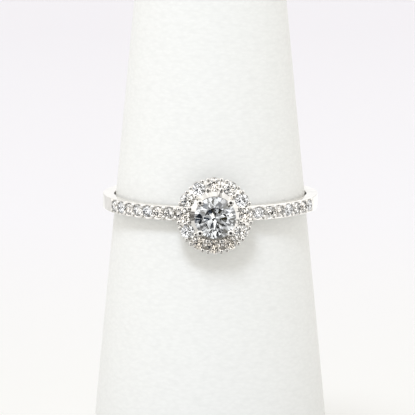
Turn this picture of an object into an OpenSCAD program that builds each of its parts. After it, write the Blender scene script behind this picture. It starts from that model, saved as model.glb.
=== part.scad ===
// Halo ring on its display cone: a round stone held by four prongs over a disc of twelve small
// stones, on a narrow band with a row of small stones down each side of its front.
// All lengths are in millimetres and all angles in degrees.
// The cone stands on the plane z = 0 with its axis on Z, and the head of the ring faces -Y.

/* [Band] */
// Inside diameter of the band, which is the finger's size
bore_d = 17.2; // [15.5:0.1:19]
// Thickness of the band from the finger outwards
band_t = 1.05; // [0.95:0.05:1.5]
// Width of the band along the finger
band_w = 1.3; // [1.25:0.05:2]
// Bevel on the two outer edges of the band
outer_bevel = 0.05; // [0.03:0.01:0.08]
// Bevel on the two inner edges of the band, for comfort
inner_bevel = 0.12; // [0.08:0.01:0.2]

/* [Band stones] */
// Diameter of each stone in the band
band_stone_d = 1; // [0.9:0.01:1.1]
// Metal left between two stones of the band
band_stone_gap = 0.1; // [0.06:0.01:0.2]
// Number of stones on each side of the head
band_stone_count = 8; // [4:1:10]
// How far the first stone lies in under the edge of the halo, from edge to centre
band_tuck = 0.47; // [0.1:0.01:0.5]
// Distance of each bead from the middle line of the band
band_bead_out = 0.4; // [0.38:0.01:0.45]
// Height of a band bead's centre over the band
band_bead_rise = 0.02; // [0:0.01:0.05]

/* [Halo] */
// Number of stones in the halo, a multiple of four so that each prong stands between two
halo_stone_count = 12; // [12:4:16]
// Diameter of each stone in the halo
halo_stone_d = 1.15; // [1:0.01:1.2]
// Least space between the centre stone and the halo stones, seen from the front
halo_clear = 0.32; // [0.2:0.01:0.4]
// Least metal left between two stones of the halo
halo_stone_gap = 0.18; // [0.15:0.01:0.22]
// Metal outside each halo stone
halo_rim = 0.05; // [0.04:0.01:0.1]
// Depth of the notches between the scallops of the halo's rim
halo_notch = 0.2; // [0.1:0.01:0.25]
// Thickness of the halo plate
halo_t = 0.8; // [0.75:0.05:1.2]
// Height of the halo's underside over the band
halo_lift = 0.1; // [0.05:0.05:1]
// Diameter of the light hole under each halo stone
light_hole_d = 0.5; // [0.4:0.05:0.6]
// Distance in from the scallops' outer line to the centres of the rim beads
rim_bead_in = 0.15; // [0.13:0.01:0.18]
// Angle at the halo's centre between the two rim beads of a pair
rim_bead_split = 9; // [8:0.5:10]
// Length of the post that carries each rim bead, down from the plate's face
rim_post_h = 0.5; // [0.3:0.05:0.7]
// Diameter of a rim bead's post, as a share of the bead's
rim_post_share = 0.9; // [0.8:0.01:0.95]
// Distance out from the stones' inner line to the centres of the inner beads
inner_bead_in = 0.2; // [0.17:0.01:0.22]
// Height of a halo bead's centre over the halo plate
halo_bead_rise = 0.03; // [0:0.01:0.06]

/* [Centre stone] */
// Diameter of the centre stone
centre_d = 3.6; // [3.2:0.05:4]
// Height of the centre stone's girdle over the halo plate
centre_lift = 1.25; // [0.8:0.05:1.6]
// Diameter of each of the four prongs
prong_d = 0.5; // [0.45:0.01:0.56]
// Diameter of the domed tip of a prong
prong_tip_d = 0.56; // [0.56:0.01:0.7]
// Metal left round the foot of a prong
prong_foot = 0.1; // [0.08:0.01:0.2]
// How deep the girdle is let into a prong
prong_bite = 0.15; // [0.1:0.01:0.2]
// Height of the tip's centre over the girdle
prong_rise = 0.25; // [0.15:0.01:0.3]
// Diameter of the collet's foot, where it meets the band
collet_foot_d = 2; // [1.6:0.1:2.4]
// Depth that the collet's foot is let into the band
collet_sink = 0.3; // [0.2:0.05:0.5]
// Thickness of the collet's wall at its foot
collet_t = 0.5; // [0.4:0.05:0.8]

/* [Cut of the stones] */
// Width of the table, as a share of the stone's diameter
table_share = 0.57; // [0.53:0.01:0.62]
// Height of the crown, as a share of the stone's diameter
crown_share = 0.155; // [0.13:0.005:0.17]
// Thickness of the girdle, as a share of the stone's diameter
girdle_share = 0.03; // [0.025:0.005:0.04]
// Depth of the pavilion, as a share of the stone's diameter
pavilion_share = 0.43; // [0.41:0.005:0.45]
// Reach of the star facets from the table's edge towards the girdle, as a share
star_share = 0.55; // [0.45:0.01:0.6]
// Reach of the lower girdle facets from the girdle towards the point, as a share
lower_share = 0.77; // [0.7:0.01:0.85]

/* [Fit] */
// Gap between a stone and its seat
seat_gap = 0.02; // [0.01:0.005:0.03]
// How far a bead reaches in over the edge of its stone
bead_grip = 0.03; // [0.025:0.005:0.04]
// Height of a small stone's girdle over the metal round it
girdle_proud = 0.01; // [0:0.005:0.03]
// Gap between the band and the cone that it rests on
cone_gap = 0.03; // [0.02:0.005:0.06]

/* [Display cone] */
// Height of the cone
cone_h = 57; // [50:1:70]
// Height of the middle of the ring over the base
ring_z = 30; // [24:0.5:34]
// Growth of the cone's radius for each millimetre down
cone_slope = 0.098; // [0.07:0.002:0.12]
// Rounding of the cone's upper edge
cone_top_round = 2; // [1:0.1:3]
// Rounding of the cone's lower edge
cone_foot_round = 0.5; // [0.3:0.1:1]

/* [Hidden] */
// Main facets round the crown of a stone, a number that the cut itself sets
mains = 8;
// Straight steps in each rounded edge of the cone
round_steps = 10;
// Prongs on the centre stone
prong_count = 4;
// How far a cut or a joined piece runs past the face that it meets
past = 0.3;
// Sides of a round surface in a preview
smooth = 64;
// Angle from the middle of a main facet to its corner
half_main = 180 / mains;

bore_r = bore_d / 2;
band_r = bore_r + band_t;

// The halo: its circle is wide enough to clear the centre stone and to take all its stones
halo_step = 360 / halo_stone_count;
halo_past_centre_r = (centre_d + halo_stone_d) / 2 + halo_clear;
halo_full_r = (halo_stone_d + halo_stone_gap) / (2 * sin(halo_step / 2));
halo_circle_r = max(halo_past_centre_r, halo_full_r);
halo_outer_r = halo_circle_r + halo_stone_d / 2 + halo_rim;
halo_disc_r = halo_outer_r - halo_notch;
halo_bottom = band_r + halo_lift;
halo_top = halo_bottom + halo_t;
rim_bead_r = halo_outer_r - rim_bead_in;
inner_bead_r = halo_circle_r - halo_stone_d / 2 + inner_bead_in;

// The centre stone and its prongs
centre_z = halo_top + centre_lift;
prong_circle_r = (centre_d + prong_d) / 2 - prong_bite;
well_r = prong_circle_r - prong_d / 2 - prong_foot;
collet_z = band_r - collet_sink;

// The band's stones, counted outwards from the head
band_step = 2 * asin((band_stone_d + band_stone_gap) / (2 * band_r));
band_first = asin((halo_outer_r - band_tuck) / band_r);
band_sides = ["left", "right"];
function band_angle(i) = band_first + (i - 1) * band_step;
function side_sign(side) = side == "left" ? -1 : 1;

// The cone's radius at a height, set by the lower edge of the band that rests on it
rest_z = ring_z - band_w / 2 + inner_bevel;
function cone_r(z) = bore_r - cone_gap + (rest_z - z) * cone_slope;

function two_digits(i) = i < 10 ? str("0", i) : str(i);
function halo_name(i) = str("halo_stone_", two_digits(i));
function band_name(side, i) = str("band_stone_", side, "_", i);

metal_colour = [0.82, 0.82, 0.83];
stone_colour = [0.86, 0.91, 0.95];
cone_colour = [0.96, 0.95, 0.93];

// A point at radius r, angle a and height z
function polar(r, a, z) = [r * cos(a), r * sin(a), z];

// Height on the plane through three points, over the point with the plan position of p
function on_plane(a, b, c, p) =
    let (n = cross(b - a, c - a)) a[2] - (n[0] * (p[0] - a[0]) + n[1] * (p[1] - a[1])) / n[2];

// Radii and heights of a round brilliant of diameter d, from the top of its girdle.
// The star and lower points lie on the planes of the main facets.
function table_r(d) = table_share * d / 2;
function crown_h(d) = crown_share * d;
function girdle_h(d) = girdle_share * d;
function point_z(d) = -girdle_h(d) - pavilion_share * d;
function star_r(d) =
    let (edge = table_r(d) * cos(half_main)) edge + star_share * (d / 2 - edge);
function star_z(d) =
    crown_h(d) * (d / 2 - star_r(d) * cos(half_main)) / (d / 2 - table_r(d));
function lower_r(d) = (1 - lower_share) * d / 2;
function lower_z(d) =
    point_z(d) + pavilion_share * d * lower_r(d) * cos(half_main) / (d / 2);

// A round brilliant with its table up and the top of its girdle at z = 0. The girdle has four
// points for each main facet, and the two between its corners lie on the girdle facets' planes.
module brilliant(d) {
    step = 360 / mains;
    per = 4;
    half = per / 2;
    around = mains * per;
    table = [for (k = [0:mains - 1]) polar(table_r(d), k * step, crown_h(d))];
    star = [for (k = [0:mains - 1]) polar(star_r(d), (k + 0.5) * step, star_z(d))];
    lower = [for (k = [0:mains - 1]) polar(lower_r(d), (k + 0.5) * step, lower_z(d))];
    corner = function (j, z) polar(d / 2, j * step / per, z);
    // The girdle's edge at its own height z, dipped where it crosses the facet that ends at tip
    edge = function (j, z, tips)
        let (flat = corner(j, z), k = floor(j / per))
        j % half == 0 ? flat
            : [flat[0], flat[1],
               on_plane(corner(j - 1, z), corner(j + 1, z), tips[k], flat)];
    upper_edge = [for (j = [0:around - 1]) edge(j, 0, star)];
    lower_edge = [for (j = [0:around - 1]) edge(j, -girdle_h(d), lower)];
    points = concat(table, star, upper_edge, lower_edge, lower, [[0, 0, point_z(d)]]);
    star_0 = mains;
    upper_0 = 2 * mains;
    edge_0 = upper_0 + around;
    lower_0 = edge_0 + around;
    tip = lower_0 + mains;
    turn = function (j) j % around;
    faces = concat(
        [[for (k = [mains - 1:-1:0]) k]],
        [for (k = [0:mains - 1]) [k, (k + 1) % mains, star_0 + k]],
        [for (k = [0:mains - 1])
            [k, star_0 + k, upper_0 + k * per, star_0 + (k + mains - 1) % mains]],
        [for (k = [0:mains - 1], h = [0, half])
            let (j = k * per + h)
            [star_0 + k, upper_0 + turn(j + half), upper_0 + j + 1, upper_0 + j]],
        [for (j = [0:around - 1])
            [upper_0 + j, upper_0 + turn(j + 1), edge_0 + turn(j + 1), edge_0 + j]],
        [for (k = [0:mains - 1], h = [0, half])
            let (j = k * per + h)
            [lower_0 + k, edge_0 + j, edge_0 + j + 1, edge_0 + turn(j + half)]],
        [for (k = [0:mains - 1])
            [tip, lower_0 + (k + mains - 1) % mains, edge_0 + k * per, lower_0 + k]]
    );
    polyhedron(points, faces);
}

// The room that a stone of diameter d takes in the metal, with a hole of diameter hole_d
// that goes on down for depth below the girdle
module seat(d, hole_d, depth) {
    r = d / 2 + seat_gap;
    down = (r - hole_d / 2) * (pavilion_share * d) / (d / 2);
    rotate_extrude($fn = smooth)
        polygon([
            [0, crown_h(d) + seat_gap],
            [table_r(d) + seat_gap, crown_h(d) + seat_gap],
            [star_r(d) + seat_gap, star_z(d) + seat_gap],
            [r, seat_gap],
            [r, -girdle_h(d) - seat_gap],
            [hole_d / 2, -girdle_h(d) - seat_gap - down],
            [hole_d / 2, -depth],
            [0, -depth]
        ]);
}

// Places a child that points along +Z so that it points out of the head, with z = 0 on the
// finger's axis
module at_head() translate([0, 0, ring_z]) rotate([90, 0, 0]) children();

module at_halo(a, r, z) at_head() rotate([0, 0, a]) translate([r, 0, z]) children();

// Places a child on the band at angle a from the head, at height r from the finger's axis and
// out from the band's middle line
module at_band(a, r, out = 0)
    at_head() rotate([0, a, 0]) translate([0, out, r]) children();

module at_centre() at_head() translate([0, 0, centre_z]) children();

module at_halo_stone(i)
    at_halo((i - 1) * halo_step, halo_circle_r, halo_top + girdle_proud) children();

module at_band_stone(side, i)
    at_band(side_sign(side) * band_angle(i), band_r + girdle_proud) children();

// Radius of a bead that grips a stone of diameter d whose centre is distance away
function bead_r(distance, d) = distance - d / 2 + bead_grip;

// Distance between two points of the halo's plan
function halo_distance(r1, r2, a) = sqrt(r1 * r1 + r2 * r2 - 2 * r1 * r2 * cos(a));

module band() {
    inner = inner_bevel;
    outer = outer_bevel;
    half_w = band_w / 2;
    translate([0, 0, ring_z])
        rotate_extrude($fn = 2 * smooth)
            polygon([
                [bore_r + inner, -half_w],
                [band_r - outer, -half_w],
                [band_r, -half_w + outer],
                [band_r, half_w - outer],
                [band_r - outer, half_w],
                [bore_r + inner, half_w],
                [bore_r, half_w - inner],
                [bore_r, -half_w + inner]
            ]);
}

// One bead in each corner where two stones of the band meet, and past the first and last stones
module band_beads() {
    along = (band_stone_d + band_stone_gap) / 2;
    r = bead_r(sqrt(along * along + band_bead_out * band_bead_out), band_stone_d);
    for (side = [-1, 1], i = [0:band_stone_count], out = [-1, 1])
        at_band(side * (band_angle(i) + band_step / 2), band_r + band_bead_rise,
                out * band_bead_out)
            sphere(r, $fn = smooth);
}

// The scalloped plate of the halo, open under the centre stone
module halo_plate()
    at_head() translate([0, 0, halo_bottom])
        linear_extrude(halo_t)
            difference() {
                union() {
                    circle(halo_disc_r, $fn = smooth);
                    for (i = [1:halo_stone_count])
                        rotate([0, 0, (i - 1) * halo_step]) translate([halo_circle_r, 0])
                            circle(halo_stone_d / 2 + halo_rim, $fn = smooth);
                }
                circle(well_r, $fn = smooth);
            }

// Between each two halo stones: a pair of beads on posts at the rim, and one bead on the inside
module halo_beads() {
    z = halo_top + halo_bead_rise;
    half_split = rim_bead_split / 2;
    rim_r = bead_r(
        halo_distance(rim_bead_r, halo_circle_r, halo_step / 2 - half_split), halo_stone_d);
    inner_r = bead_r(
        halo_distance(inner_bead_r, halo_circle_r, halo_step / 2), halo_stone_d);
    for (i = [1:halo_stone_count]) {
        a = (i - 0.5) * halo_step;
        for (turn = [-1, 1])
            at_halo(a + turn * half_split, rim_bead_r, z) {
                sphere(rim_r, $fn = smooth);
                translate([0, 0, -rim_post_h])
                    cylinder(rim_post_h, r = rim_post_share * rim_r, $fn = smooth);
            }
        at_halo(a, inner_bead_r, z) sphere(inner_r, $fn = smooth);
    }
}

// The open cone that carries the halo and the prongs on the band
module collet() {
    foot_r = collet_foot_d / 2;
    rise = halo_bottom + past - collet_z;
    top_r = prong_circle_r + prong_d / 2 + prong_foot;
    at_head() translate([0, 0, collet_z])
        rotate_extrude($fn = smooth)
            polygon([
                [foot_r - collet_t, 0],
                [foot_r, 0],
                [top_r, rise],
                [well_r, rise]
            ]);
}

module prongs() {
    rise = centre_z + prong_rise - halo_bottom;
    for (i = [0:prong_count - 1])
        at_halo((i + 0.5) * 360 / prong_count, prong_circle_r, halo_bottom) {
            cylinder(rise, d = prong_d, $fn = smooth);
            translate([0, 0, rise]) sphere(d = prong_tip_d, $fn = smooth);
        }
}

// All the metal, which is soldered and cast together
module ring_mount()
    color(metal_colour)
    difference() {
        union() {
            band();
            band_beads();
            halo_plate();
            halo_beads();
            collet();
            prongs();
        }
        at_centre() seat(centre_d, light_hole_d, girdle_h(centre_d) + pavilion_share * centre_d);
        for (i = [1:halo_stone_count])
            at_halo_stone(i) seat(halo_stone_d, light_hole_d, halo_t + past);
        for (side = band_sides, i = [1:band_stone_count])
            at_band_stone(side, i)
                seat(band_stone_d, light_hole_d,
                     girdle_h(band_stone_d) + pavilion_share * band_stone_d);
    }

module centre_stone() color(stone_colour) at_centre() brilliant(centre_d);

module halo_stone(i) color(stone_colour) at_halo_stone(i) brilliant(halo_stone_d);

module band_stone(side, i)
    color(stone_colour) at_band_stone(side, i) brilliant(band_stone_d);

// Points of a rounded corner of radius r round centre c, from angle a to angle b
function corner_arc(c, r, a, b) =
    [for (s = [0:round_steps]) let (t = a + (b - a) * s / round_steps)
        [c[0] + r * cos(t), c[1] + r * sin(t)]];

module display_cone() {
    lean = atan(cone_slope);
    // A rounded corner touches the side where its centre is the radius in, square to the side
    foot_x = cone_r(cone_foot_round) - cone_foot_round / cos(lean);
    top_x = cone_r(cone_h - cone_top_round) - cone_top_round / cos(lean);
    color(cone_colour)
        rotate_extrude($fn = 2 * smooth)
            polygon(concat(
                [[0, 0]],
                corner_arc([foot_x, cone_foot_round], cone_foot_round, -90, lean),
                corner_arc([top_x, cone_h - cone_top_round], cone_top_round, lean, 90),
                [[0, cone_h]]
            ));
}

display_cone();
ring_mount();
centre_stone();
for (i = [1:halo_stone_count])
    halo_stone(i);
for (side = band_sides, i = [1:band_stone_count])
    band_stone(side, i);
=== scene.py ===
import math

import bpy
import numpy as np
from mathutils import Matrix, Vector


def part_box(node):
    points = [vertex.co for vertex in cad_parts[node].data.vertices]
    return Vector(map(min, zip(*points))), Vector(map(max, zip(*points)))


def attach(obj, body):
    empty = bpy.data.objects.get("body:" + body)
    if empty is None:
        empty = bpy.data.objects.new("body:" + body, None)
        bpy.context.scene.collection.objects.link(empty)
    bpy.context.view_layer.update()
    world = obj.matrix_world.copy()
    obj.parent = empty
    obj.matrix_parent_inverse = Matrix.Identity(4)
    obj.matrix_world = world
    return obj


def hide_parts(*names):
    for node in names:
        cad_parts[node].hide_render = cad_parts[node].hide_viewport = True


# Halo ring in rhodium-plated white gold on a leatherette ring cone.
# Lengths in the dictionaries are in millimetres and angles in degrees.
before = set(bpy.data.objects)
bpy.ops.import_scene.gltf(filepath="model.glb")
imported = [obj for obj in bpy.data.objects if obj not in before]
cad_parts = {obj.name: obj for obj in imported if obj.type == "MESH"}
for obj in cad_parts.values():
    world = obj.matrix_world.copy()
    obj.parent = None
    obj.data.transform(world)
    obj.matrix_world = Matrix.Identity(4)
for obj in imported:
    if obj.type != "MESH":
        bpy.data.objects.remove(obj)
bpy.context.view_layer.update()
mm = 0.001
scene = bpy.context.scene


def spot(azimuth, elevation):
    # Direction from the ring to a point round it: azimuth 0 is in front of the head, elevation is upwards
    a, e = math.radians(azimuth), math.radians(elevation)
    return Vector((math.sin(a) * math.cos(e), -math.cos(a) * math.cos(e), math.sin(e)))


# Camera: in front of the head, a little above the ring and a little to its left

shot = {
    "distance": 250,
    "azimuth": -2,
    "elevation": 8.2,
    "roll": 0.03,
    "lens": 241.3,
    "sensor": 36,
    "ringHeight": 30,    # height of the ring's middle over the floor
    "right": 0.25,       # the ring's middle lies this far right of the picture's middle
    "up": 0.78,          # and this far above it
}


def makeCamera():
    data = bpy.data.cameras.new("camera")
    data.lens, data.sensor_width = shot["lens"], shot["sensor"]
    data.clip_start, data.clip_end = 5 * mm, 20
    cam = bpy.data.objects.new("camera", data)
    scene.collection.objects.link(cam)
    back = spot(shot["azimuth"], shot["elevation"])
    turn = (-back).to_track_quat("-Z", "Y").to_matrix()
    right, up = turn @ Vector((1, 0, 0)), turn @ Vector((0, 1, 0))
    aim = Vector((0, 0, shot["ringHeight"])) - right * shot["right"] - up * shot["up"]
    turn = turn @ Matrix.Rotation(math.radians(shot["roll"]), 3, "Z")
    cam.matrix_world = Matrix.Translation((aim + back * shot["distance"]) * mm) @ turn.to_4x4()
    scene.camera = cam


makeCamera()
print("camera placed")


# Materials

def linear(colour):
    # sRGB hex colour to linear RGBA
    parts = [int(colour[i:i + 2], 16) / 255 for i in (1, 3, 5)]
    return [c / 12.92 if c <= 0.04045 else ((c + 0.055) / 1.055) ** 2.4 for c in parts] + [1]


def add(tree, kind, settings, links=()):
    # One node: settings are attributes or input values, links go from outputs to inputs
    made = tree.nodes.new(kind)
    for key, value in settings.items():
        if isinstance(key, int) or key in made.inputs:
            made.inputs[key].default_value = value
        else:
            setattr(made, key, value)
    for key, source in dict(links).items():
        tree.links.new(source, made.inputs[key])
    return made


def newMaterial(name, slots):
    # Material with one Principled shader; slots sets its sockets
    material = bpy.data.materials.new(name)
    material.use_nodes = True
    tree = material.node_tree
    shader = tree.nodes["Principled BSDF"]
    for key, value in slots.items():
        shader.inputs[key].default_value = value
    return material, tree, shader


def ramp(tree, source, stops):
    # Colour ramp over (place, hex colour) stops
    made = add(tree, "ShaderNodeValToRGB", {}, {"Fac": source})
    elements = made.color_ramp.elements
    for element, (place, colour) in zip(elements, (stops[0], stops[-1])):
        element.position, element.color = place, linear(colour)
    for place, colour in stops[1:-1]:
        elements.new(place).color = linear(colour)
    return made


leatherette = {
    "high": "#F7F8F6",
    "low": "#F0F1EF",
    "grain": 0.55,       # width of one wrinkle of the grain, coarser than the real 0.3 so that it shows
    "flat": 2.2,         # the wrinkles lie round the cone, so they are this much lower than wide
    "bend": 0.35,        # how far the wrinkles wander, as a share of their spacing
    "fine": 0.45,        # share of finer grain mixed in
    "depth": 0.022,      # depth of the grain
    "patch": 6,          # size of the patches where the grain is stronger and weaker
    "roughness": 0.55,
}


def makeLeatherette():
    # White polyurethane leatherette, embossed and satin: a fine wrinkled grain with soft low gloss
    material, tree, shader = newMaterial(
        "white_leatherette",
        {"IOR": 1.5, "Roughness": leatherette["roughness"], "Specular IOR Level": 0.3})
    place = add(tree, "ShaderNodeTexCoord", {}).outputs["Object"]
    per = 1 / mm
    wide = add(tree, "ShaderNodeMapping",
               {"Scale": (per, per, per * leatherette["flat"])}, {"Vector": place}).outputs[0]
    bend = add(tree, "ShaderNodeTexNoise", {"Scale": 0.7 / leatherette["grain"], "Detail": 2.0},
               {"Vector": wide}).outputs["Color"]
    bent = add(tree, "ShaderNodeMix",
               {"data_type": "RGBA", "blend_type": "LINEAR_LIGHT", 0: leatherette["bend"]},
               {6: wide, 7: bend}).outputs[2]
    cells = add(tree, "ShaderNodeTexVoronoi",
                {"feature": "SMOOTH_F1", "Scale": 1 / leatherette["grain"], "Smoothness": 0.8},
                {"Vector": bent}).outputs["Distance"]
    fine = add(tree, "ShaderNodeTexNoise",
               {"Scale": 2.2 / leatherette["grain"], "Detail": 3.0, "Roughness": 0.6},
               {"Vector": wide}).outputs["Fac"]
    patches = add(tree, "ShaderNodeTexNoise",
                  {"Scale": per / leatherette["patch"], "Detail": 1.0},
                  {"Vector": place}).outputs["Fac"]
    grain = add(tree, "ShaderNodeMix", {"data_type": "FLOAT", 0: leatherette["fine"]},
                {2: cells, 3: fine}).outputs[0]
    much = add(tree, "ShaderNodeMapRange", {1: 0.35, 2: 0.65, 3: 0.35, 4: 1.0},
               {0: patches}).outputs[0]
    bump = add(tree, "ShaderNodeBump", {"Distance": leatherette["depth"] * mm},
               {"Height": grain, "Strength": much}).outputs[0]
    tint = ramp(tree, grain, [(0.25, leatherette["high"]), (0.75, leatherette["low"])])
    tree.links.new(tint.outputs[0], shader.inputs["Base Color"])
    tree.links.new(bump, shader.inputs["Normal"])
    return material


whiteGold = {
    "bright": "#EEEBE6",
    "dull": "#E0DDD7",
    "cloud": 0.8,        # size of the faint clouds in the polish
    "scratch": 0.06,     # spacing of the polishing marks, coarser than the real 0.01 so that they show
    "scratchDepth": 0.0004,
    "roughness": (0.05, 0.13),  # of the clearest and the cloudiest polish
}


def makeWhiteGold():
    # White gold, rhodium plated and mirror polished by hand: bright and near neutral, with faint
    # polishing marks
    material, tree, shader = newMaterial("rhodium_plated_white_gold", {"Metallic": 1.0})
    place = add(tree, "ShaderNodeTexCoord", {}).outputs["Object"]
    clouds = add(tree, "ShaderNodeTexNoise",
                 {"Scale": 1 / (whiteGold["cloud"] * mm), "Detail": 3.0},
                 {"Vector": place}).outputs["Fac"]
    marks = add(tree, "ShaderNodeTexNoise",
                {"Scale": 1 / (whiteGold["scratch"] * mm), "Detail": 2.0, "Roughness": 0.7},
                {"Vector": place}).outputs["Fac"]
    tint = ramp(tree, clouds, [(0.3, whiteGold["dull"]), (0.65, whiteGold["bright"])])
    clear, cloudy = whiteGold["roughness"]
    gloss = add(tree, "ShaderNodeMapRange", {1: 0.3, 2: 0.7, 3: clear, 4: cloudy},
                {0: clouds}).outputs[0]
    bump = add(tree, "ShaderNodeBump",
               {"Strength": 0.3, "Distance": whiteGold["scratchDepth"] * mm},
               {"Height": marks}).outputs[0]
    tree.links.new(tint.outputs[0], shader.inputs["Base Color"])
    tree.links.new(gloss, shader.inputs["Roughness"])
    tree.links.new(bump, shader.inputs["Normal"])
    return material


diamond = {
    "tints": ["#FFFFFF", "#FFFCF6", "#FFF9F0"],  # of the small stones, in turn
    "centre": "#C7C9CA",  # painted shade: tinted greyer than the small stones, so its large facets read darker
    "low": "#DFD7CB",     # painted shade: the halo's lowest stones are tinted darker and browner
    "shadedBelow": 1.9,      # they lie this far under the ring's middle
    "ior": 2.417,
}


def makeDiamond(name, tint):
    # Diamond, cut and polished: clear, with strong mirror flashes from flat facets
    return newMaterial(name, {"Base Color": linear(tint), "Roughness": 0.0, "IOR": diamond["ior"],
                              "Transmission Weight": 1.0})[0]


leatheretteMaterial = makeLeatherette()
goldMaterial = makeWhiteGold()
diamondMaterials = [makeDiamond(f"melee_diamond_{i + 1}", tint)
                    for i, tint in enumerate(diamond["tints"])]
# The material for the halo's lowest stones is tinted darker and browner: painted shade
lowShadeMaterial = makeDiamond("melee_diamond_painted_shade", diamond["low"])
shadedCentreMaterial = makeDiamond("brilliant_cut_diamond", diamond["centre"])
print("materials made")


# Surfaces

def loop(points):
    # Surface closed both ways through a grid of points [u, v, 3]: one quad for each cell
    u, v = points.shape[:2]
    i, j = np.meshgrid(np.arange(u), np.arange(v), indexing="ij")
    k = lambda a, b: (a % u) * v + b % v
    quads = np.stack([k(i, j), k(i + 1, j), k(i + 1, j + 1), k(i, j + 1)], -1)
    return points.reshape(-1, 3), quads.reshape(-1, 4)


def stack(rings):
    # Closed surface through a stack of rings [n, m, 3]: quads between the rings, and a fan round
    # the middle of each end ring. A triangle is written as a quad with its last corner repeated
    n, m = rings.shape[:2]
    i, j = np.meshgrid(np.arange(n - 1), np.arange(m), indexing="ij")
    k = lambda a, b: a * m + b % m
    quads = np.stack([k(i, j), k(i, j + 1), k(i + 1, j + 1), k(i + 1, j)], -1).reshape(-1, 4)
    low, high, j = n * m, n * m + 1, np.arange(m)
    foot = np.stack([k(0, j + 1), k(0, j), low + 0 * j, low + 0 * j], -1)
    head = np.stack([k(n - 1, j), k(n - 1, j + 1), high + 0 * j, high + 0 * j], -1)
    points = np.concatenate([rings.reshape(-1, 3), [rings[0].mean(0), rings[-1].mean(0)]])
    return points, np.concatenate([quads, foot, head])


def turned(profile, sides):
    # Solid of revolution about Z: the (radius, height) profile carried round the axis
    profile = np.array(profile, float)
    a = np.arange(sides) * 2 * np.pi / sides
    r, h = profile[:, 0, None], profile[:, 1, None]
    return np.stack([r * np.cos(a), r * np.sin(a), h + 0 * a], -1)


def sphere(radius, low, high, steps, around=96):
    # Part of a sphere from one elevation to another, with its ends closed
    t, a = np.radians(np.linspace(low, high, steps)), np.arange(around) * 2 * np.pi / around
    rings = np.stack([np.cos(t)[:, None] * np.cos(a), np.cos(t)[:, None] * np.sin(a),
                      np.sin(t)[:, None] + 0 * a], -1)
    return stack(rings * radius)


def corner(centre, radius, start, end, steps):
    # Arc of a circle as (x, y) points, for rounded edges
    t = np.radians(np.linspace(start, end, steps + 1))
    return np.stack([centre[0] + radius * np.cos(t), centre[1] + radius * np.sin(t)], -1)


def placed(shape, frames):
    # Copies of one surface, one for each (origin, x, y, z) frame in millimetres
    points, faces = shape
    frames = np.array(frames, float)
    copies = frames[:, None, 0] + np.einsum("pk,fkc->fpc", points, frames[:, 1:])
    shift = (np.arange(len(frames)) * len(points))[:, None, None]
    return copies.reshape(-1, 3), (faces[None] + shift).reshape(-1, 4)


def outward(points, faces):
    # Turns the faces round if they enclose a negative volume
    a, b, c, d = (points[faces[:, i]] for i in range(4))
    volume = (np.cross(a, b) * c).sum() + (np.cross(a, c) * d).sum()
    return faces if volume > 0 else faces[:, ::-1]


def makeObject(name, shape):
    # Object from one surface in millimetres; a repeated last corner makes a triangle
    points, faces = shape
    faces = outward(points, faces)
    flat = [list(dict.fromkeys(face)) for face in faces.tolist()]
    mesh = bpy.data.meshes.new(name)
    mesh.from_pydata((points * mm).tolist(), [], flat)
    made = bpy.data.objects.new(name, mesh)
    scene.collection.objects.link(made)
    return made


def combine(base, other, operation):
    # Joins or cuts base with another closed surface and keeps the result as base's own mesh
    modifier = base.modifiers.new(operation.lower(), "BOOLEAN")
    modifier.operation, modifier.solver, modifier.object = operation, "MANIFOLD", other
    bpy.context.view_layer.update()
    graph = bpy.context.evaluated_depsgraph_get()
    mesh = bpy.data.meshes.new_from_object(base.evaluated_get(graph))
    base.modifiers.clear()
    base.data = mesh
    bpy.data.objects.remove(other)


def finish(piece, material, sharp=32):
    # Smooth shading broken at edges over the sharp angle, one material, and the body it rides on
    piece.data.name = piece.name
    piece.data.shade_smooth()
    piece.data.set_sharp_from_angle(angle=math.radians(sharp))
    piece.data.materials.clear()
    piece.data.materials.append(material)
    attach(piece, "root")
    return piece


# Stones

def readStone(name):
    # A stone as the frame has it: the middle of the girdle's upper edge, the way its table faces and
    # its radius
    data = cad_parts[name].data
    points = np.empty(len(data.vertices) * 3)
    data.vertices.foreach_get("co", points)
    points = np.unique((points.reshape(-1, 3) / mm).round(4), axis=0)
    middle = points.mean(0)
    out = np.array([0, -1.0, 0]) if "band" not in name else np.array([middle[0], middle[1], 0])
    out /= np.linalg.norm(out)
    height = (points - middle) @ out
    reach = np.linalg.norm(points - middle - height[:, None] * out, axis=1)
    top = height[reach > 0.99 * reach.max()].max()
    return {"origin": middle + top * out, "out": out, "radius": reach.max()}


stoneNames = sorted(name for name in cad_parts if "stone" in name)
stones = {name: readStone(name) for name in stoneNames}
centreStone = stones["centre_stone"]
haloStones = [stones[name] for name in stoneNames if name.startswith("halo")]
bandStones = [stones[name] for name in stoneNames if name.startswith("band")]
ringHeight = shot["ringHeight"]


def stoneMaterial(i, name):
    # The centre stone's greyer tint and the lowest halo stones' browner tint are painted shade
    if name == "centre_stone":
        return shadedCentreMaterial
    if name.startswith("halo") and stones[name]["origin"][2] < ringHeight - diamond["shadedBelow"]:
        return lowShadeMaterial
    return diamondMaterials[i % len(diamondMaterials)]


for i, name in enumerate(stoneNames):
    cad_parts[name].data.materials.clear()
    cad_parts[name].data.materials.append(stoneMaterial(i, name))


def stoneFrame(stone):
    # Frame at a stone's girdle with z along its axis
    z = stone["out"]
    x = np.cross([0, 0, 1.0], z)
    return [stone["origin"], x, np.cross(z, x), z]


def onHead(points):
    # Turns a solid of revolution from the Z axis to the head's axis
    return np.stack([points[..., 0], -points[..., 2], ringHeight + points[..., 1]], -1)


def headFrame(radius, angle, height):
    # Frame on the head's face: x away from the head's axis, z out of the head
    a = math.radians(angle)
    x = np.array([math.cos(a), 0, math.sin(a)])
    z = np.array([0, -1.0, 0])
    return [np.array([0, 0, ringHeight]) + radius * x + height * z, x, np.cross(z, x), z]


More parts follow.
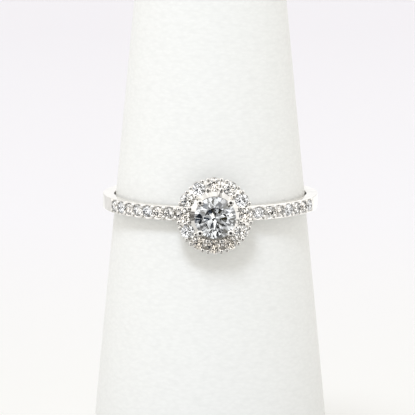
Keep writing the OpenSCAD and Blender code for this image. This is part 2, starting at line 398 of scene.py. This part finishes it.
def bandFrame(angle, height, across=0):
    # Frame on the band at an angle from the head: x along the band, z away from the finger
    a = math.radians(angle)
    z = np.array([math.sin(a), -math.cos(a), 0])
    x = np.array([math.cos(a), math.sin(a), 0])
    return [height * z + np.array([0, 0, ringHeight + across]), x, np.cross(z, x), z]


# Shares of a round brilliant's diameter, as the stones in the frame have them, and the gap round a stone
cut = {"table": 0.57, "crown": 0.155, "girdle": 0.03, "pavilion": 0.43, "gap": 0.02}


def seatSurface(radius, hole, depth, sides=64):
    # The room a stone takes: its crown, girdle and pavilion cones with a gap, then a straight hole
    d, gap = 2 * radius, cut["gap"]
    r = radius + gap
    low = -cut["girdle"] * d - gap
    fall = (r - hole / 2) * cut["pavilion"] * d / radius
    profile = [(cut["table"] * radius + gap, cut["crown"] * d + gap), (r, gap), (r, low),
               (hole / 2, low - fall), (hole / 2, -depth)]
    return stack(turned(profile, sides))


def brightCut(radius, width, depth, sides=64):
    # Flared edge cut round a stone: a shallow cone from just under the girdle to past the metal's face
    foot = radius + cut["gap"]
    rim = foot + 2 * width
    profile = [(radius * 0.6, -depth), (foot, -depth), (rim, depth), (rim, 3 * depth)]
    return stack(turned(profile, sides))


def beadSurface(radius, dome, post, waist, sides):
    # A bead pushed up from the metal: a post, waist times as wide, that widens to a flattened dome
    t = np.radians(np.linspace(0, 84, 10))
    head = np.stack([radius * np.cos(t), radius * dome * np.sin(t)], -1)
    neck = [(radius * waist, -post), (radius * waist, -radius * 0.8), (radius * 0.97, -radius * 0.3)]
    return stack(turned(np.concatenate([neck, head]), sides))


# Band

band = {
    "bore": 8.6,
    "outside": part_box("ring_mount")[1].y / mm,  # the back of the ring is the plain band
    "width": 1.3,
    "outerRound": 0.08,
    "innerRound": 0.16,
    "steps": 384,
    "beadAcross": 0.4,
    "beadRadius": 0.21,
    "beadRise": 0.02,
    "beadPost": 0.3,
    "beadWaist": 0.8,
    "dome": 0.5,         # height of a bead's dome as a share of its radius
    "cutWidth": 0.13,    # the bright cut's width on the band's face
    "cutDepth": 0.045,
    "hole": 0.5,
}


def bandSurface():
    # The band's rounded section carried round the finger's axis
    half, low, high = band["width"] / 2, band["bore"], band["outside"]
    o, i = band["outerRound"], band["innerRound"]
    section = np.concatenate([
        corner((high - o, -half + o), o, -90, 0, 5), corner((high - o, half - o), o, 0, 90, 5),
        corner((low + i, half - i), i, 90, 180, 6), corner((low + i, -half + i), i, 180, 270, 6)])
    rings = turned(section, band["steps"]).transpose(1, 0, 2)
    return loop(rings + [0, 0, ringHeight])


def angleOf(stone):
    return math.degrees(math.atan2(stone["out"][0], -stone["out"][1]))


def makeBand():
    piece = makeObject("white_gold_band", bandSurface())
    frames = [stoneFrame(s) for s in bandStones]
    radius = bandStones[0]["radius"]
    cuts = brightCut(radius, band["cutWidth"], band["cutDepth"])
    combine(piece, makeObject("cut", placed(cuts, frames)), "DIFFERENCE")
    angles = sorted(angleOf(s) for s in bandStones if angleOf(s) > 0)
    step = angles[1] - angles[0]
    between = [angles[0] - step / 2 + k * step for k in range(len(angles) + 1)]
    spots = [bandFrame(side * a, band["outside"] + band["beadRise"], across * band["beadAcross"])
             for side in (-1, 1) for a in between for across in (-1, 1)]
    bead = beadSurface(band["beadRadius"], band["dome"], band["beadPost"], band["beadWaist"], 28)
    combine(piece, makeObject("beads", placed(bead, spots)), "UNION")
    seat = seatSurface(radius, band["hole"], (cut["girdle"] + cut["pavilion"]) * 2 * radius)
    combine(piece, makeObject("seats", placed(seat, frames)), "DIFFERENCE")
    return finish(piece, goldMaterial)


# Halo

haloStone = haloStones[0]
halo = {
    "bottom": band["outside"] + 0.1,         # the plate's underside stands over the band
    "top": -haloStone["origin"][1] - 0.01,   # its face is just under the stones' girdles
    "circle": math.hypot(haloStone["origin"][0], haloStone["origin"][2] - ringHeight),
    "rim": 0.05,         # metal outside each stone
    "notch": 0.2,        # depth of the notches between the scallops
    "well": 1.55,        # radius of the room under the centre stone
    "collarOut": 0.02,   # the collar starts this far out from the stones' inner line
    "collarPast": 0.1,   # and is let this much further into the plate
    "collarFoot": 0.3,   # and this deep
    "crest": 1.72,       # radius of its crest, which fills the gap round the centre stone
    "crestRise": 0.2,
    "edge": 0.04,
    "fall": 0.6,         # slope of the outer face between the stones
    "steps": 720,
    "count": len(haloStones),
    "rimIn": 0.15,       # rim beads, in from the scallops' outer line
    "rimSplit": 4.5,     # each pair stands this far to the two sides of its notch
    "rimRadius": 0.17,
    "rimPost": 0.5,
    "rimWaist": 0.9,
    "innerIn": 0.2,      # inner beads, out from the stones' inner line
    "innerRadius": 0.22,
    "innerPost": 0.3,
    "innerWaist": 0.8,
    "rise": 0.03,        # height of the beads' middles over the plate
    "dome": 0.32,        # height of a bead's dome as a share of its radius
    "cutWidth": 0.16,
    "cutDepth": 0.06,
    "hole": 0.5,         # the light hole under each stone
    "past": 0.3,         # and how far its cut runs past the plate
}


def haloSurface():
    # The plate's section carried round the head's axis; its outer edge is the larger of the disc's
    # radius and the far side of the nearest stone's scallop circle
    a = np.arange(halo["steps"]) * 2 * np.pi / halo["steps"]
    step = 2 * np.pi / halo["count"]
    off = (a + step / 2) % step - step / 2
    reach = haloStone["radius"] + halo["rim"]
    disc = halo["circle"] + reach - halo["notch"]
    side = halo["circle"] * np.sin(off)
    scallop = halo["circle"] * np.cos(off) + np.sqrt(np.maximum(reach ** 2 - side ** 2, 0))
    outer = np.where(abs(side) < reach, np.maximum(scallop, disc), disc)
    e, low, high, well = halo["edge"], halo["bottom"], halo["top"], halo["well"]
    # The outer face falls away from the stones' circle between the stones, and not in front of them
    drop = halo["fall"] * (outer - halo["circle"]) * np.sin(np.pi * off / step) ** 2
    upper, lower = corner((-e, -e), e, 0, 90, 4), corner((-e, low + e), e, -90, 0, 4)
    even = lambda value: np.full((1, len(a)), value)
    radii = np.concatenate([even(well), outer + lower[:, :1], outer + upper[:, :1],
                            even(halo["circle"]), even(well)])
    heights = np.concatenate([even(low), lower[:, 1:] + 0 * a, high - drop + upper[:, 1:],
                              even(high), even(high)])
    points = np.stack([radii * np.cos(a), -heights, ringHeight + radii * np.sin(a)], -1)
    return loop(points)


def collarSurface():
    # A ring of metal whose face rises from the stones' inner line to a crest under the centre stone
    top, well, past = halo["top"], halo["well"], halo["collarPast"]
    lip = halo["circle"] - haloStone["radius"] + halo["collarOut"]
    foot = top - halo["collarFoot"]
    slope = halo["crestRise"] / (lip - halo["crest"])
    section = [(well, foot), (lip + past, foot), (lip + past, top - past * slope),
               (halo["crest"], top + halo["crestRise"]), (well, top)]
    return loop(onHead(turned(section, 192)))


def makeHalo():
    piece = makeObject("white_gold_halo", haloSurface())
    frames = [stoneFrame(s) for s in haloStones]
    radius = haloStone["radius"]
    cuts = brightCut(radius, halo["cutWidth"], halo["cutDepth"])
    for half in (frames[::2], frames[1::2]):
        combine(piece, makeObject("cut", placed(cuts, half)), "DIFFERENCE")
    combine(piece, makeObject("collar", collarSurface()), "UNION")
    step = 360 / halo["count"]
    height = halo["top"] + halo["rise"]
    middles = [(k + 0.5) * step for k in range(halo["count"])]
    rim = beadSurface(halo["rimRadius"], halo["dome"], halo["rimPost"], halo["rimWaist"], 24)
    rimCircle = halo["circle"] + radius + halo["rim"] - halo["rimIn"]
    spots = [headFrame(rimCircle, a + s * halo["rimSplit"], height) for a in middles for s in (-1, 1)]
    combine(piece, makeObject("rim", placed(rim, spots)), "UNION")
    inner = beadSurface(halo["innerRadius"], halo["dome"], halo["innerPost"], halo["innerWaist"], 24)
    spots = [headFrame(halo["circle"] - radius + halo["innerIn"], a, height) for a in middles]
    combine(piece, makeObject("inner", placed(inner, spots)), "UNION")
    seat = seatSurface(radius, halo["hole"], halo["top"] - halo["bottom"] + halo["past"])
    combine(piece, makeObject("seats", placed(seat, frames)), "DIFFERENCE")
    return finish(piece, goldMaterial)


# Collet and prongs

prong = {
    "circle": centreStone["radius"] + 0.1,  # the stone's girdle is let into the claws
    "lean": 0.04,        # the claw's tip leans in over the stone by this much
    "leanFrom": 0.7,     # and starts to at this share of its height
    "radius": 0.25,
    "tip": 0.29,
    "bottom": halo["bottom"],
    "tipHeight": -centreStone["origin"][1] + 0.25,
    "dome": 0.26,
    "sides": 32,
}

collet = {
    "foot": 1.0,         # outer and inner radius where it is soldered to the band
    "footInner": 0.5,
    "bottom": band["outside"] - 0.3,
    "top": halo["bottom"] + 0.3,
    "outer": prong["circle"] + 0.35,
    "inner": halo["well"],
    "hole": 0.5,
}


def centreSeat():
    radius = centreStone["radius"]
    depth = (cut["girdle"] + cut["pavilion"]) * 2 * radius
    seat = seatSurface(radius, collet["hole"], depth, sides=128)
    return makeObject("seat", placed(seat, [stoneFrame(centreStone)]))


def makeCollet():
    # The collet's wall carried round the head's axis
    wall = np.array([(collet["footInner"], collet["bottom"]), (collet["foot"], collet["bottom"]),
                     (collet["outer"], collet["top"]), (collet["inner"], collet["top"])])
    piece = makeObject("white_gold_collet", loop(onHead(turned(wall, 128))))
    combine(piece, centreSeat(), "DIFFERENCE")
    return finish(piece, goldMaterial)


def prongSurface():
    # A round claw: rings up a path that leans in over the stone, closed by a flattened dome
    rise = prong["tipHeight"] - prong["bottom"]
    t = np.linspace(0, 1, 15)
    bend = np.clip((t - prong["leanFrom"]) / (1 - prong["leanFrom"]), 0, 1)
    ease = bend ** 2 * (3 - 2 * bend)
    heights = t * rise
    lean = -prong["lean"] * ease
    radii = prong["radius"] + (prong["tip"] - prong["radius"]) * ease
    dome = np.radians(np.linspace(9, 84, 9))
    heights = np.concatenate([heights, rise + prong["tip"] * prong["dome"] * np.sin(dome)])
    radii = np.concatenate([radii, prong["tip"] * np.cos(dome)])
    lean = np.concatenate([lean, np.full(len(dome), lean[-1])])
    a = np.arange(prong["sides"]) * 2 * np.pi / prong["sides"]
    x = lean[:, None] + radii[:, None] * np.cos(a)
    return stack(np.stack([x, radii[:, None] * np.sin(a), heights[:, None] + 0 * a], -1))


def makeProngs():
    frames = [headFrame(prong["circle"], 45 + 90 * k, prong["bottom"]) for k in range(4)]
    piece = makeObject("white_gold_prongs", placed(prongSurface(), frames))
    combine(piece, centreSeat(), "DIFFERENCE")
    return finish(piece, goldMaterial)


bandPiece = makeBand()
mountPieces = [bandPiece, makeHalo(), makeCollet(), makeProngs()]
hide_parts("ring_mount")
print("mount made:", {o.name: len(o.data.polygons) for o in mountPieces})


# Display cone

cone = {
    "height": 57,
    "restHeight": 29.47,  # where the band rests on it
    "restRadius": 8.57,
    "slope": 0.098,
    "topRound": 2,
    "footRound": 0.5,
    "around": 360,
    "along": 220,
    "pole": 0.3,         # radius of the small ring at the middle of each end
}


def coneSurface():
    # A straight taper with rounded upper and lower edges, carried round the Z axis
    radiusAt = lambda z: cone["restRadius"] + (cone["restHeight"] - z) * cone["slope"]
    lean = math.degrees(math.atan(cone["slope"]))
    f, t, h = cone["footRound"], cone["topRound"], cone["height"]
    foot = corner((radiusAt(f) - f / math.cos(math.radians(lean)), f), f, -90, lean, 8)
    head = corner((radiusAt(h - t) - t / math.cos(math.radians(lean)), h - t), t, lean, 90, 12)
    side = np.linspace(foot[-1], head[0], cone["along"])[1:-1]
    floor = np.linspace((cone["pole"], 0), foot[0], 12)[:-1]
    top = np.linspace(head[-1], (cone["pole"], h), 12)[1:]
    return stack(turned(np.concatenate([floor, foot, side, head, top]), cone["around"]))


conePiece = finish(makeObject("leatherette_cone", coneSurface()), leatheretteMaterial)
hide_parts("display_cone")
print("cone made")


# Floor, tent and lights

studio = {
    "floorRadius": 3000,
    "floorTintAndShade": [(60, "#FCFCFA"), (190, "#FBFAFD"), (560, "#F6F4F8")],  # by distance behind the ring; the greying far behind is painted shade
    "footShade": (12, 40, 0.75),  # less light comes back near the cone's foot: full to, gone at, share
    "ambient": 0.39,     # even part of the soft light
    "ambientColour": "#FFFBF4",
    "walls": 0.6,        # added towards the tent's side walls
    "lean": (-0.04, 0, 0.1),  # added towards the left and the top
    "sun": 1.28,
    "sunColour": "#EBF2FF",
    "sunAngle": 16,
    "sunAzimuth": -14,
    "sunElevation": 52,
    "tentRadius": 2500,
    "wallRadius": 2400,
    "wallColour": "#F5F3F5",
}

# What the polished metal sees: the tent's own brightness below and above, how much is added towards
# its sides, the kind, width and brightness of the folds in its cloth, then soft round patches as
# (azimuth, elevation, full to, gone at, colour, strength)
metalTent = {
    "below": 1.0,
    "above": 1.28,
    "sides": 0.1,
    "fold": "SMOOTH_F1",
    "cell": 22,
    "dim": 0.8,
    "lit": 1.42,
    "shift": (1.3, 0.4, 2.1),
    "patches": [
        (0, -68, 28, 44, "#8E8C88", 1),
        (-52, 34, 12, 22, "#FFFFFF", 1.7),
        (58, 26, 10, 20, "#FFFFFF", 1.6),
        (150, 40, 14, 24, "#FFFFFF", 1.6),
        (-120, 20, 5, 9, "#77787A", 1),
        (100, 2, 4, 8, "#77787A", 1),
        (2, -5, 12, 20, "#383838", 1),
        (38, -10, 8, 12, "#24221F", 1),
        (-41, -8, 8, 12, "#45423E", 1),
        (64, -2, 6, 10, "#3A3733", 1),
        (-66, -4, 6, 10, "#3A3733", 1),
        (-14, -38, 8, 13, "#3A352E", 1),
        (22, -36, 7, 12, "#3A352E", 1),
        (14, 36, 5, 8, "#3E3C39", 1),
    ],
}

# What the stones return from inside: small bright and dark folds, small lamps, and dark gaps that are
# cool on the left and warm on the right
stoneTent = {
    "below": 0.58,
    "above": 0.8,
    "sides": 0.85,
    "fold": "F1",
    "cell": 10,
    "dim": 0.12,
    "lit": 2.1,
    "shift": (0.2, 1.7, 0.6),
    "patches": [
        (62, 28, 8, 10, "#FFFFFF", 4),
        (-62, 12, 8, 10, "#F4F8FF", 4),
        (42, -10, 6, 8, "#FFFFFF", 4),
        (21, -24, 4, 6, "#FFFBF4", 3),
        (-30, 38, 7, 9, "#F4F8FF", 2.6),
        (-6, 50, 6, 8, "#2A313B", 1),
        (-24, -21, 5, 7, "#2A313B", 1),
        (-3, 10, 8, 10, "#2C333D", 1),
        (-24, 12, 11, 13, "#3C4A5E", 1),
        (19, 14, 12, 14, "#4A462E", 1),
        (-12, -10, 5, 7, "#2A313B", 1),
        (18, -8, 4, 6, "#FFFFFF", 2),
        (5, -2, 5, 6.5, "#FFFFFF", 3),
        (0, -14, 3, 5, "#FFFFFF", 2.4),
    ],
}


def makeFloor():
    # A round pale floor of paper, a little warmer near the ring and greyer far behind it; the greying is
    # painted shade. It throws less light back on to the cone near the cone's foot
    a = np.arange(128) * 2 * np.pi / 128
    r = studio["floorRadius"] * mm
    points = np.stack([r * np.cos(a), r * np.sin(a), 0 * a], -1)
    mesh = bpy.data.meshes.new("floor")
    mesh.from_pydata(points.tolist(), [], [list(range(len(a)))])
    floor = bpy.data.objects.new("floor", mesh)
    scene.collection.objects.link(floor)
    material, tree, shader = newMaterial(
        "matte_white_paper", {"Roughness": 0.9, "Specular IOR Level": 0.1})
    place = add(tree, "ShaderNodeTexCoord", {}).outputs["Object"]
    back = add(tree, "ShaderNodeSeparateXYZ", {}, {0: place}).outputs["Y"]
    # Tint by distance behind the ring, greying far behind: painted shade
    near, far = studio["floorTintAndShade"][0][0], studio["floorTintAndShade"][-1][0]
    share = add(tree, "ShaderNodeMapRange", {1: near * mm, 2: far * mm}, {0: back}).outputs[0]
    stops = [((y - near) / (far - near), colour) for y, colour in studio["floorTintAndShade"]]
    tint = ramp(tree, share, stops)
    full, gone, dark = studio["footShade"]
    away = add(tree, "ShaderNodeVectorMath", {"operation": "LENGTH"}, {0: place}).outputs["Value"]
    shade = add(tree, "ShaderNodeMapRange", {1: full * mm, 2: gone * mm, 3: dark, 4: 0},
                {0: away}).outputs[0]
    bounce = add(tree, "ShaderNodeLightPath", {}).outputs["Is Diffuse Ray"]
    shade = add(tree, "ShaderNodeMath", {"operation": "MULTIPLY"}, {0: shade, 1: bounce}).outputs[0]
    shaded = add(tree, "ShaderNodeMix", {"data_type": "RGBA", 7: (0, 0, 0, 1)},
                 {0: shade, 6: tint.outputs[0]})
    tree.links.new(shaded.outputs[2], shader.inputs["Base Color"])
    mesh.materials.append(material)
    floor.visible_glossy = floor.visible_transmission = False


def tentPattern(tree, way, look):
    # The tent's colour by direction: a soft change from below to above, times the folds' brightness,
    # with the patches over it
    parts = add(tree, "ShaderNodeSeparateXYZ", {}, {0: way}).outputs
    glow = add(tree, "ShaderNodeMapRange", {1: -0.6, 2: 0.8, 3: look["below"], 4: look["above"]},
               {0: parts["Z"]}).outputs[0]
    aside = add(tree, "ShaderNodeMath", {"operation": "ABSOLUTE"}, {0: parts["X"]}).outputs[0]
    glow = add(tree, "ShaderNodeMath", {"operation": "MULTIPLY_ADD", 1: look["sides"]},
               {0: aside, 2: glow}).outputs[0]
    moved = add(tree, "ShaderNodeVectorMath", {"operation": "ADD", 1: look["shift"]}, {0: way}).outputs[0]
    folds = add(tree, "ShaderNodeTexVoronoi",
                {"feature": look["fold"], "Scale": 1 / math.radians(look["cell"])},
                {"Vector": moved}).outputs["Color"]
    each = add(tree, "ShaderNodeSeparateXYZ", {}, {0: folds}).outputs["X"]
    fold = add(tree, "ShaderNodeMapRange",
               {"interpolation_type": "SMOOTHSTEP", 1: 0.2, 2: 0.9, 3: look["dim"], 4: look["lit"]},
               {0: each}).outputs[0]
    glow = add(tree, "ShaderNodeMath", {"operation": "MULTIPLY"}, {0: glow, 1: fold}).outputs[0]
    colour = add(tree, "ShaderNodeVectorMath", {"operation": "SCALE", 0: (1, 1, 1)},
                 {3: glow}).outputs[0]
    for azimuth, elevation, full, gone, tint, strength in look["patches"]:
        towards = spot(azimuth, elevation)
        near = add(tree, "ShaderNodeVectorMath", {"operation": "DOT_PRODUCT", 1: towards},
                   {0: way}).outputs["Value"]
        mask = add(tree, "ShaderNodeMapRange",
                   {"interpolation_type": "SMOOTHSTEP", 1: math.cos(math.radians(gone)),
                    2: math.cos(math.radians(full))}, {0: near}).outputs[0]
        light = [c * strength for c in linear(tint)[:3]] + [1]
        colour = add(tree, "ShaderNodeMix", {"data_type": "RGBA", 7: light},
                     {0: mask, 6: colour}).outputs[2]
    return colour


def glowing(name):
    # Material with no nodes yet, for a wall of the studio that glows but throws no light about
    material = bpy.data.materials.new(name)
    material.use_nodes = True
    material.node_tree.nodes.clear()
    material.cycles.emission_sampling = "NONE"
    return material, material.node_tree


def makeTent():
    # A white tent round the ring that only reflections and the stones see: a sphere that glows
    tent = makeObject("tent", sphere(studio["tentRadius"], -88, 88, 45))
    material, tree = glowing("white_tent")
    place = add(tree, "ShaderNodeTexCoord", {}).outputs["Object"]
    way = add(tree, "ShaderNodeVectorMath", {"operation": "NORMALIZE"}, {0: place}).outputs["Vector"]
    inside = add(tree, "ShaderNodeLightPath", {}).outputs["Is Transmission Ray"]
    both = add(tree, "ShaderNodeMix", {"data_type": "RGBA"},
               {0: inside, 6: tentPattern(tree, way, metalTent), 7: tentPattern(tree, way, stoneTent)})
    shine = add(tree, "ShaderNodeEmission", {}, {"Color": both.outputs[2]})
    add(tree, "ShaderNodeOutputMaterial", {}, {"Surface": shine.outputs[0]})
    tent.data.materials.append(material)
    tent.visible_camera = tent.visible_diffuse = tent.visible_shadow = tent.visible_volume_scatter = False


def makeBackdrop():
    # A plain pale wall far behind everything, which only a level view sees
    wall = makeObject("backdrop", sphere(studio["wallRadius"], -60, 88, 20))
    material, tree = glowing("pale_backdrop")
    shine = add(tree, "ShaderNodeEmission", {"Color": linear(studio["wallColour"])})
    add(tree, "ShaderNodeOutputMaterial", {}, {"Surface": shine.outputs[0]})
    wall.data.materials.append(material)
    wall.visible_glossy = wall.visible_transmission = wall.visible_diffuse = False
    wall.visible_shadow = wall.visible_volume_scatter = False


def makeWorld():
    # Soft light on the matte surfaces, stronger from the tent's side walls
    world = bpy.data.worlds.new("studio")
    scene.world = world
    world.use_nodes = True
    tree = world.node_tree
    tree.nodes.clear()
    way = add(tree, "ShaderNodeTexCoord", {}).outputs["Generated"]
    sides = add(tree, "ShaderNodeVectorMath", {"operation": "ABSOLUTE"}, {0: way}).outputs["Vector"]
    walls = add(tree, "ShaderNodeVectorMath", {"operation": "DOT_PRODUCT", 1: (studio["walls"], 0, 0)},
                {0: sides}).outputs["Value"]
    lean = add(tree, "ShaderNodeVectorMath", {"operation": "DOT_PRODUCT", 1: studio["lean"]},
               {0: way}).outputs["Value"]
    total = add(tree, "ShaderNodeMath", {"operation": "ADD"}, {0: walls, 1: lean}).outputs[0]
    total = add(tree, "ShaderNodeMath", {"operation": "ADD", 1: studio["ambient"]}, {0: total}).outputs[0]
    soft = add(tree, "ShaderNodeBackground", {}, {"Strength": total})
    soft.inputs["Color"].default_value = linear(studio["ambientColour"])
    add(tree, "ShaderNodeOutputWorld", {}, {"Surface": soft.outputs[0]})


def makeSun():
    # The main light: large and soft, from above on the left
    data = bpy.data.lights.new("main_light", "SUN")
    data.energy, data.angle = studio["sun"], math.radians(studio["sunAngle"])
    data.color = linear(studio["sunColour"])[:3]
    light = bpy.data.objects.new("main_light", data)
    scene.collection.objects.link(light)
    back = spot(studio["sunAzimuth"], studio["sunElevation"])
    light.matrix_world = back.to_track_quat("Z", "Y").to_matrix().to_4x4()
    light.visible_glossy = light.visible_transmission = False


makeFloor()
makeTent()
makeBackdrop()
makeWorld()
makeSun()
scene.view_settings.view_transform = "Standard"
print("studio made")
